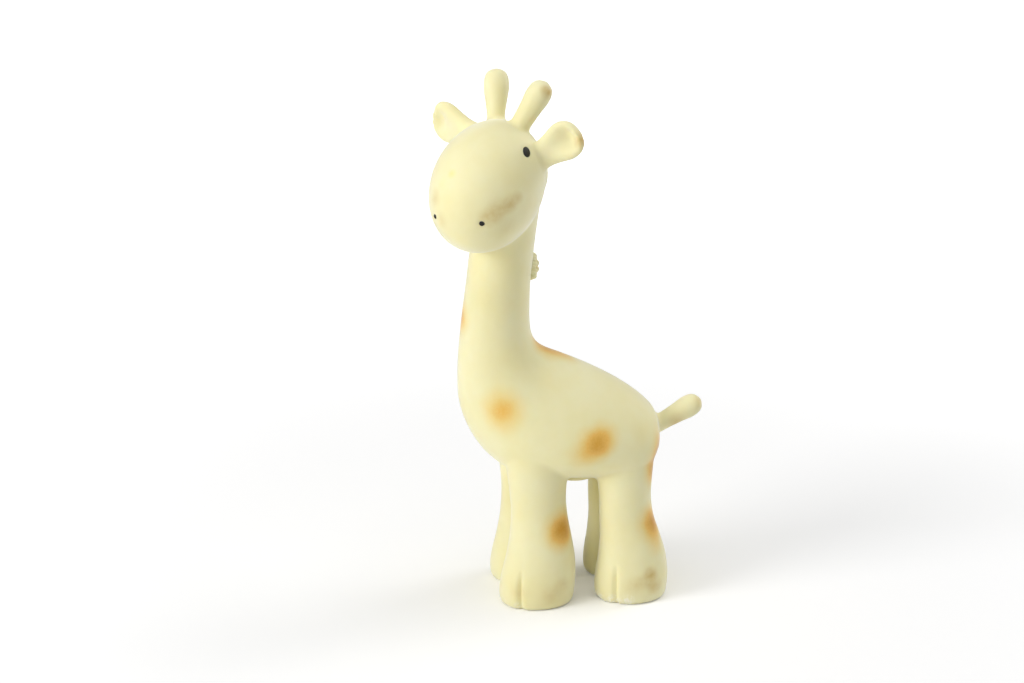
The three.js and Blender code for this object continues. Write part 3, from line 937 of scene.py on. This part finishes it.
# %% [markdown]
# Materials come next. Each starts from the real stuff. One helper adds a node with its settings and
# what feeds it, and one turns the hex colour of a paint card into the linear light that Blender
# works in.

# %% Material helpers
def linear(hex_colour):
    """An sRGB hex value, such as F0E9B9, as linear red, green, blue and alpha."""
    channels = [int(hex_colour[i : i + 2], 16) / 255 for i in (0, 2, 4)]
    return [c / 12.92 if c <= 0.04045 else ((c + 0.055) / 1.055) ** 2.4 for c in channels] + [1]


def add_node(tree, kind, inputs=None, **settings):
    """Adds a shader node, sets its settings, and sets or links each named or numbered input."""
    node = tree.nodes.new("ShaderNode" + kind)
    for name, value in settings.items():
        setattr(node, name, value)
    for key, value in (inputs or {}).items():
        if isinstance(value, bpy.types.NodeSocket):
            tree.links.new(value, node.inputs[key])
        else:
            node.inputs[key].default_value = value
    return node


def new_material(name):
    material = bpy.data.materials.new(name)
    material.use_nodes = True
    material.node_tree.nodes.clear()
    return material, material.node_tree


def close_material(tree, shader):
    add_node(tree, "OutputMaterial", {"Surface": shader.outputs[0]})


# %% [markdown]
# Natural rubber latex dries to a warm cream, matt but a little waxy: light sinks in for a
# millimetre or so, reflections are broad, and a bloom of fine dust pales what is seen edge on. The
# spots are airbrushed pigment, cured into the skin. Each is dense in its middle and fades over
# several millimetres into a fine spray of droplets, and a little unevenness of the hand bends its
# outline. A pigment film takes light away, so it is multiplied over the cream, and so are the dirt
# of use and a few waxy stains. Where the sole's edge is torn, pale bare rubber shows instead. In
# the material a spot is a distance from a point on the body, turned to a share by a Map Range. The
# places are in millimetres from the mould's zero. Those on the side that shows were read off the
# photograph with the matched camera, and those on the far side are guessed.

# %% Spots and marks on the skin
CREAM = "F1EBBD"
DEEP_CREAM = "EDE4AC"
SPRAY_TINTS = [
    (0.0, "FFFFFF"), (0.25, "FEF3DE"), (0.45, "FDE7BC"),
    (0.65, "FAD088"), (0.85, "E8B55E"), (1.0, "DEA42C"),
]
SPOTS = [  # x, y, z, reach, density; so are the rows of the other marks
    (12.9, -16.8, 61.8, 9.0, 0.66),
    (17.9, 12.2, 54.0, 6.8, 0.5),
    (18.7, 9.6, 52.0, 7.6, 0.82),
    (18.9, 5.8, 48.4, 6.0, 0.35),
    (14.7, 0.7, 24.6, 8.6, 1.0),
    (15.6, -0.6, 21.8, 6.0, 0.3),
    (13.2, 28.4, 24.6, 8.2, 1.0),
    (14.6, 28.8, 18.6, 5.4, 0.35),
    (9.8, 30.6, 48.6, 6.6, 0.5),
    (10.2, 30.0, 44.4, 8.6, 1.0),
    (10.8, 28.8, 39.6, 7.0, 0.8),
    (1.4, -5.2, 78.6, 5.6, 0.6),
    (0.0, -1.4, 76.4, 7.4, 0.85),
    (-0.4, 3.4, 74.0, 6.4, 0.6),
    (-0.8, -27.4, 86.8, 7.8, 0.85),
    (-12.5, -14.5, 58.0, 8.2, 0.75),
    (-18.4, 6.0, 56.0, 8.0, 0.8),
    (-16.2, 22.0, 49.5, 7.4, 0.75),
    (-9.6, -14.6, 100.0, 7.0, 0.7),
    (-15.6, -8.4, 27.0, 7.6, 0.85),
    (-15.4, 19.0, 22.0, 7.2, 0.85),
]
GRIME_TINT = "D0AC44"
SMUDGES = [
    (22.9, -22.3, 123.4, 4.2, 0.35),
    (22.6, -19.6, 125.0, 4.6, 0.36),
    (21.2, -16.0, 126.4, 3.8, 0.44),
    (19.8, -13.6, 127.6, 2.8, 0.32),
    (22.4, -15.5, 119.0, 6.0, 0.15),
    (13.5, -36.3, 126.8, 3.8, 0.3),
    (16.8, -34.7, 121.4, 3.4, 0.2),
    (17.4, 26.8, 9.6, 3.4, 0.6),
    (17.9, 25.2, 7.4, 4.0, 0.32),
    (17.2, 28.2, 5.6, 3.8, 0.36),
    (18.3, 21.6, 6.0, 4.4, 0.22),
    (18.3, -3.2, 5.0, 4.8, 0.2),
    (17.0, 0.0, 7.6, 4.0, 0.24),
    (16.8, -12.6, 5.8, 4.2, 0.15),
    (3.7, -2.2, 154.4, 3.2, 0.65),
    (14.2, 5.6, 142.4, 3.4, 0.85),
    (1.5, 37.0, 51.8, 4.0, 0.45),
    (1.5, 44.0, 58.0, 3.0, 0.35),
    (-16.3, -28.5, 142.7, 1.2, 0.6),
    # The last four rows darken the tuft a little, and more in the valleys between its locks.
    (1.0, -4.4, 101.6, 2.8, 0.2),
    (1.4, -4.3, 103.6, 0.9, 0.4),
    (1.8, -4.2, 101.2, 0.9, 0.4),
    (1.4, -4.8, 99.4, 0.9, 0.4),
]
SCUFF_COLOUR = "FCFAEC"
SCUFFS = [
    (12.6, 12.6, 0.8, 3.6, 0.9),
    (16.3, 15.6, 1.0, 3.6, 0.9),
    (18.2, 19.8, 1.2, 3.2, 0.8),
    (16.7, -12.9, 1.4, 1.8, 0.7),
]
WAX_TINT = "FFFBD8"
WAX_STAINS = [
    (15.6, -31.6, 134.4, 2.0, 1.0),
    (14.2, -33.4, 131.0, 2.6, 0.4),
    (17.8, -29.0, 116.4, 5.0, 0.4),
]


def marks(tree, place, spots):
    """The share of pigment at a place, from points with their reach and their density."""
    bare = 1.0
    for x, y, z, reach, density in spots:
        centre = TO_FRAME @ Vector((x, y, z))
        away = add_node(tree, "VectorMath", {0: place, 1: centre}, operation="DISTANCE")
        left = add_node(tree, "MapRange", {
            "Value": away.outputs["Value"], "From Min": 0.0, "From Max": reach * MM,
            "To Min": 1 - density, "To Max": 1.0,
        }, interpolation_type="SMOOTHSTEP")
        joined = {0: bare, 1: left.outputs["Result"]}
        bare = add_node(tree, "Math", joined, operation="MULTIPLY").outputs[0]
    return add_node(tree, "Math", {0: 1.0, 1: bare}, operation="SUBTRACT").outputs[0]


# %% Natural rubber skin
SPRAY_GRAIN = 0.6
WOBBLE_SIZE = 6.0
WOBBLE_REACH = 1.8
CLOUD_SIZE = 14.0
PATCH_SIZE = 3.0
PORE_SIZE = 0.8
WAVE_SIZE = 9.0


def per_metre(size_mm):
    """The scale of a noise whose features are of this size."""
    return 1 / (size_mm * MM)


def filtered(tree, colour, share, tint):
    """Lays a thin film of a tint over a colour, as dense as its share says."""
    return add_node(tree, "Mix", {
        "Factor": share, 6: colour, 7: tint,
    }, data_type="RGBA", blend_type="MULTIPLY").outputs[2]


def rubber_skin():
    """Cream latex with its spray, its dirt and wax, its torn edge and its fine relief."""
    material, tree = new_material("natural_rubber_latex_airbrushed")
    place = add_node(tree, "TexCoord").outputs["Object"]
    grains = {}
    for name, size, detail in (
        ("wobble", WOBBLE_SIZE, 2.0), ("spray", SPRAY_GRAIN, 1.0), ("clouds", CLOUD_SIZE, 3.0),
        ("patches", PATCH_SIZE, 4.0), ("pores", PORE_SIZE, 3.0), ("waves", WAVE_SIZE, 1.0),
    ):
        grains[name] = add_node(tree, "TexNoise", {
            "Vector": place, "Scale": per_metre(size), "Detail": detail, "Roughness": 0.55,
        })

    centred = add_node(tree, "VectorMath", {
        0: grains["wobble"].outputs["Color"], 1: (0.5, 0.5, 0.5),
    }, operation="SUBTRACT")
    bent = add_node(tree, "VectorMath", {
        0: centred.outputs[0], 1: (WOBBLE_REACH * MM,) * 3, 2: place,
    }, operation="MULTIPLY_ADD")
    droplets = add_node(tree, "MapRange", {
        "Value": grains["spray"].outputs["Fac"], "From Min": 0.3, "From Max": 0.7,
        "To Min": 0.95, "To Max": 1.03,
    })
    sprayed = add_node(tree, "Math", {
        0: marks(tree, bent.outputs[0], SPOTS), 1: droplets.outputs["Result"],
    }, operation="MULTIPLY", use_clamp=True)
    ramp = add_node(tree, "ValToRGB", {"Fac": sprayed.outputs[0]})
    stops = ramp.color_ramp.elements
    while len(stops) < len(SPRAY_TINTS):
        stops.new(0.5)
    for stop, (position, colour) in zip(stops, SPRAY_TINTS):
        stop.position = position
        stop.color = linear(colour)

    clouds = add_node(tree, "MapRange", {
        "Value": grains["clouds"].outputs["Fac"], "From Min": 0.35, "From Max": 0.75,
    })
    cream = add_node(tree, "Mix", {
        "Factor": clouds.outputs["Result"], 6: linear(CREAM), 7: linear(DEEP_CREAM),
    }, data_type="RGBA")
    patchy = add_node(tree, "MapRange", {
        "Value": grains["patches"].outputs["Fac"], "From Min": 0.36, "From Max": 0.6,
        "To Min": 0.75, "To Max": 1.2,
    })
    dirt = add_node(tree, "Math", {
        0: marks(tree, bent.outputs[0], SMUDGES), 1: patchy.outputs["Result"],
    }, operation="MULTIPLY", use_clamp=True)
    colour = filtered(tree, cream.outputs[2], 1.0, ramp.outputs["Color"])
    colour = filtered(tree, colour, dirt.outputs[0], linear(GRIME_TINT))
    colour = filtered(tree, colour, marks(tree, place, WAX_STAINS), linear(WAX_TINT))
    torn = add_node(tree, "MapRange", {
        "Value": grains["pores"].outputs["Fac"], "From Min": 0.4, "From Max": 0.6,
    })
    bare = add_node(tree, "Math", {
        0: marks(tree, bent.outputs[0], SCUFFS), 1: torn.outputs["Result"],
    }, operation="MULTIPLY")
    scuffed = add_node(tree, "Mix", {
        "Factor": bare.outputs[0], 6: colour, 7: linear(SCUFF_COLOUR),
    }, data_type="RGBA")

    pores = add_node(tree, "Bump", {
        "Height": grains["pores"].outputs["Fac"], "Strength": 0.12, "Distance": 0.1 * MM,
    })
    waves = add_node(tree, "Bump", {
        "Height": grains["waves"].outputs["Fac"], "Strength": 0.25, "Distance": 0.5 * MM,
        "Normal": pores.outputs["Normal"],
    })
    roughness = add_node(tree, "MapRange", {
        "Value": grains["patches"].outputs["Fac"], "From Min": 0.3, "From Max": 0.7,
        "To Min": 0.5, "To Max": 0.6,
    })
    shader = add_node(tree, "BsdfPrincipled", {
        "Base Color": scuffed.outputs[2], "Roughness": roughness.outputs["Result"], "IOR": 1.52,
        "Specular IOR Level": 0.3, "Sheen Weight": 0.7, "Sheen Roughness": 0.4,
        "Subsurface Weight": 0.3, "Subsurface Radius": (1.0, 0.8, 0.45),
        "Subsurface Scale": 2.2 * MM, "Normal": waves.outputs["Normal"],
    })
    close_material(tree, shader)
    return material


giraffe_skin.data.materials.append(rubber_skin())

# %% [markdown]
# The other finishes are plainer. The dots are semi-gloss black paint. Their colour wanders to a
# dark grey, partly wear and partly a painted reflection of the lamps. The plug is the same rubber,
# without spots and a shade deeper. The ball is injection moulded polypropylene with a fine orange
# peel, and the beads are tumbled steel.

# %% Paint, plug, plastic and steel
def plain_finish(name, low, high, grain_mm, roughness, **sockets):
    """A finish whose colour wanders between two hex values and whose surface has a fine grain."""
    material, tree = new_material(name)
    place = add_node(tree, "TexCoord").outputs["Object"]
    grain = add_node(tree, "TexNoise", {
        "Vector": place, "Scale": per_metre(grain_mm), "Detail": 3.0,
    })
    colour = add_node(tree, "Mix", {
        "Factor": grain.outputs["Fac"], 6: linear(low), 7: linear(high),
    }, data_type="RGBA")
    spread = add_node(tree, "MapRange", {
        "Value": grain.outputs["Fac"], "To Min": roughness - 0.05, "To Max": roughness + 0.08,
    })
    relief = add_node(tree, "Bump", {
        "Height": grain.outputs["Fac"], "Strength": 0.15, "Distance": 0.05 * MM,
    })
    inputs = {
        "Base Color": colour.outputs[2], "Roughness": spread.outputs["Result"],
        "Normal": relief.outputs["Normal"],
    }
    inputs.update({key.replace("_", " "): value for key, value in sockets.items()})
    close_material(tree, add_node(tree, "BsdfPrincipled", inputs))
    return material


# The dark grey that the dots' colour wanders to is partly wear and partly a painted reflection.
black_paint = plain_finish(
    "semi_gloss_black_toy_paint", "030302", "1E1D18", 0.5, 0.45, Specular_IOR_Level=0.25
)
plug_rubber = plain_finish("natural_rubber_plug", "F0E9B9", "E9E0AC", 3.0, 0.58, IOR=1.52)
plastic = plain_finish("polypropylene_moulded", "EAE7DD", "DDD9CC", 0.6, 0.38, IOR=1.49)
steel = plain_finish("tumbled_steel", "B9BCC0", "A4A8AD", 0.3, 0.24, Metallic=1.0)
for pieces, finish in (
    (painted_dots, black_paint),
    ([belly_stopper], plug_rubber),
    (rattle_halves, plastic),
    (steel_balls, steel),
):
    for piece in pieces:
        piece.data.materials.append(finish)

# %% [markdown]
# The stage is a white paper sweep: only the shadows show where the ground is. The paper lies under
# the lamps, and glows a little for the camera alone. The glow grows further out, where the lamps'
# light falls off, until the paper meets the world, which is white to the camera too. None of this
# glow adds light to the toy.

# %% Floor
FLOOR_HALF = 6.0
FLOOR_DROP = 0.02
FLOOR_WHITE = "F9F9F9"
GLOW_NEAR = 0.11
GLOW_FAR = 0.8
GLOW_START = 0.1
GLOW_FULL = 0.6


def seen_by_camera(tree):
    """1 for rays of the camera and of what is glossy or clear, so that these show the white too."""
    ray = add_node(tree, "LightPath")
    seen = ray.outputs["Is Camera Ray"]
    for name in ("Is Glossy Ray", "Is Transmission Ray"):
        both = {0: seen, 1: ray.outputs[name]}
        seen = add_node(tree, "Math", both, operation="MAXIMUM").outputs[0]
    return seen


def floor():
    """A square of white paper, a hair below the soles, that glows for the camera further out."""
    bm = bmesh.new()
    drop = Matrix.Translation((0, 0, -FLOOR_DROP * MM))
    bmesh.ops.create_grid(bm, x_segments=1, y_segments=1, size=FLOOR_HALF, matrix=drop)
    mesh = finished_mesh(bm, "studio_floor")
    material, tree = new_material("white_paper_sweep")
    paper = add_node(tree, "BsdfDiffuse", {"Color": linear(FLOOR_WHITE)})
    place = add_node(tree, "TexCoord").outputs["Object"]
    away = add_node(tree, "VectorMath", {0: place}, operation="LENGTH")
    rise = add_node(tree, "MapRange", {
        "Value": away.outputs["Value"], "From Min": GLOW_START, "From Max": GLOW_FULL,
        "To Min": GLOW_NEAR, "To Max": GLOW_FAR,
    }, interpolation_type="SMOOTHSTEP")
    strength = add_node(tree, "Math", {
        0: rise.outputs["Result"], 1: seen_by_camera(tree),
    }, operation="MULTIPLY")
    glow = add_node(tree, "Emission", {"Strength": strength.outputs[0]})
    both = add_node(tree, "AddShader", {0: paper.outputs[0], 1: glow.outputs[0]})
    close_material(tree, both)
    mesh.materials.append(material)
    return in_scene("studio_floor", mesh)


floor()

# %% World
WORLD_LIGHT = 0.3


def white_world():
    """A world that is plain white to the camera and a weak white light to all else."""
    world = bpy.data.worlds.new("studio")
    world.use_nodes = True
    tree = world.node_tree
    tree.nodes.clear()
    strength = add_node(tree, "MapRange", {
        "Value": seen_by_camera(tree), "To Min": WORLD_LIGHT, "To Max": 1.0,
    })
    light = add_node(tree, "Background", {
        "Color": linear("FFFFFF"), "Strength": strength.outputs["Result"],
    })
    add_node(tree, "OutputWorld", {"Surface": light.outputs[0]})
    bpy.context.scene.world = world


white_world()

# %% [markdown]
# The photograph has one big soft light from the front left, low enough to run along the floor, and
# weaker ones from behind on the right, which draw the pale rim on the neck and throw the shadow
# that lies to the left. One more hangs overhead. All are area lamps that look at the toy's chest.

# %% Lamps
AIM_HEIGHT = 78
AIM = TO_FRAME @ Vector((0, 0, AIM_HEIGHT))
LAMP_DISTANCE = 1.1
LAMPS = {
    "key": {"azimuth": 22, "elevation": 20, "size": 0.6, "power": 6.6},
    "rim": {"azimuth": 200, "elevation": 30, "size": 0.6, "power": 2.3},
    "rim_high": {"azimuth": 186, "elevation": 50, "size": 0.7, "power": 1.5},
    "overhead": {"azimuth": 60, "elevation": 80, "size": 0.9, "power": 4.1},
}


def direction(turn, rise):
    """The way out at an angle round the toy and one up, in radians."""
    flat = math.cos(rise)
    return Vector((math.sin(turn) * flat, -math.cos(turn) * flat, math.sin(rise)))


def softbox(name, azimuth, elevation, size, power):
    """An area lamp at an angle about the toy, 0 in front of the chest and 90 on its left side."""
    turn, rise = math.radians(azimuth), math.radians(elevation)
    away = direction(turn, rise)
    light = bpy.data.lights.new(name, "AREA")
    light.shape = "DISK"
    light.size = size
    light.energy = power
    lamp = in_scene(name, light)
    lamp.location = AIM + away * LAMP_DISTANCE
    lamp.rotation_euler = (-away).to_track_quat("-Z", "Y").to_euler()


for lamp_name, lamp_sizes in LAMPS.items():
    softbox(lamp_name, **lamp_sizes)

# %% [markdown]
# The camera stands on the toy's left side, a little in front and above, with a long lens. Its place
# was matched to the photograph: the toy's main points land on their pixels. The toy stands right
# of the middle of the picture, so the camera looks a little past it instead of shifting its lens.

# %% Camera
CAMERA_AZIMUTH = math.radians(80.5)
CAMERA_ELEVATION = math.radians(18.5)
CAMERA_DISTANCE = 0.8
IMAGE_WIDTH = 1024
FOCAL_PIXELS = 2720
PIXELS_RIGHT_OF_MIDDLE = 41
SENSOR_WIDTH = 36
CLIP_END = 50


def camera():
    """The photograph's camera, its focal length given in pixels of the picture's width."""
    back = direction(CAMERA_AZIMUTH, CAMERA_ELEVATION)
    right = Vector((math.cos(CAMERA_AZIMUTH), math.sin(CAMERA_AZIMUTH), 0))
    data = bpy.data.cameras.new("photo_camera")
    data.sensor_width = SENSOR_WIDTH
    data.lens = FOCAL_PIXELS / IMAGE_WIDTH * SENSOR_WIDTH
    data.clip_end = CLIP_END
    eye = in_scene("photo_camera", data)
    eye.location = AIM + back * CAMERA_DISTANCE
    looking = -back * FOCAL_PIXELS - right * PIXELS_RIGHT_OF_MIDDLE
    eye.rotation_euler = looking.to_track_quat("-Z", "Y").to_euler()
    bpy.context.scene.camera = eye


camera()
bpy.context.scene.view_settings.view_transform = "Standard"
